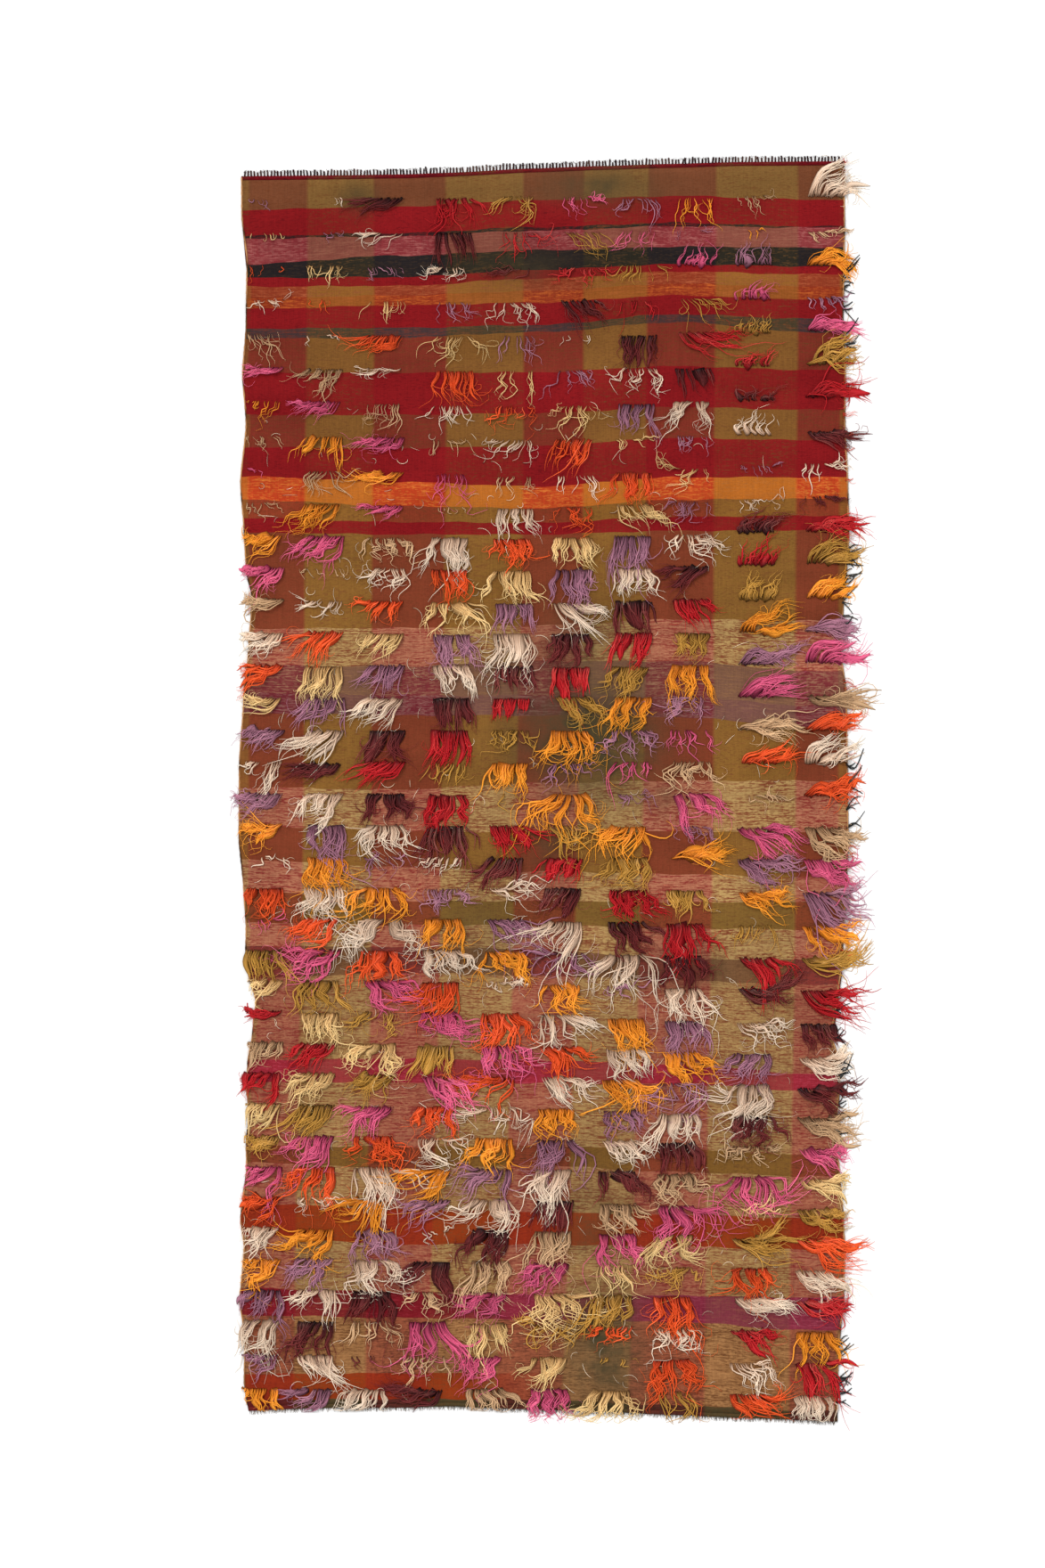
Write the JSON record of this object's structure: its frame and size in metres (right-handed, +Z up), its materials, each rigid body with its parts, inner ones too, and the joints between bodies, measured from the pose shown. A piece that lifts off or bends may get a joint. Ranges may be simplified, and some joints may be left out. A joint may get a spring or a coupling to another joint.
{
  "type": "kilim rug",
  "caption": "Flat woven plaid kilim rug with rows of knotted mohair tufts, uncut warp loops at one end and cut warp ends at the other.",
  "frame": {"origin": "on the floor under the middle of the woven cloth, which is the middle of its flat underside", "axes": "+X to the right selvedge, +Y along the length to the end with the warp loops, +Z up out of the pile"},
  "size_m": [1.6082, 3.1723, 0.0137],
  "materials": {
    "tufted_cloth": "hand-woven wool plaid with mohair tufts",
    "warp_loops": "dark red wool header with loops of warp",
    "warp_ends": "dark wool picks with cut ends of warp"
  },
  "bodies": {
    "root": {"kilim_cloth": "tufted_cloth", "warp_loops_top": "warp_loops", "warp_ends_bottom": "warp_ends"}
  },
  "joints": []
}
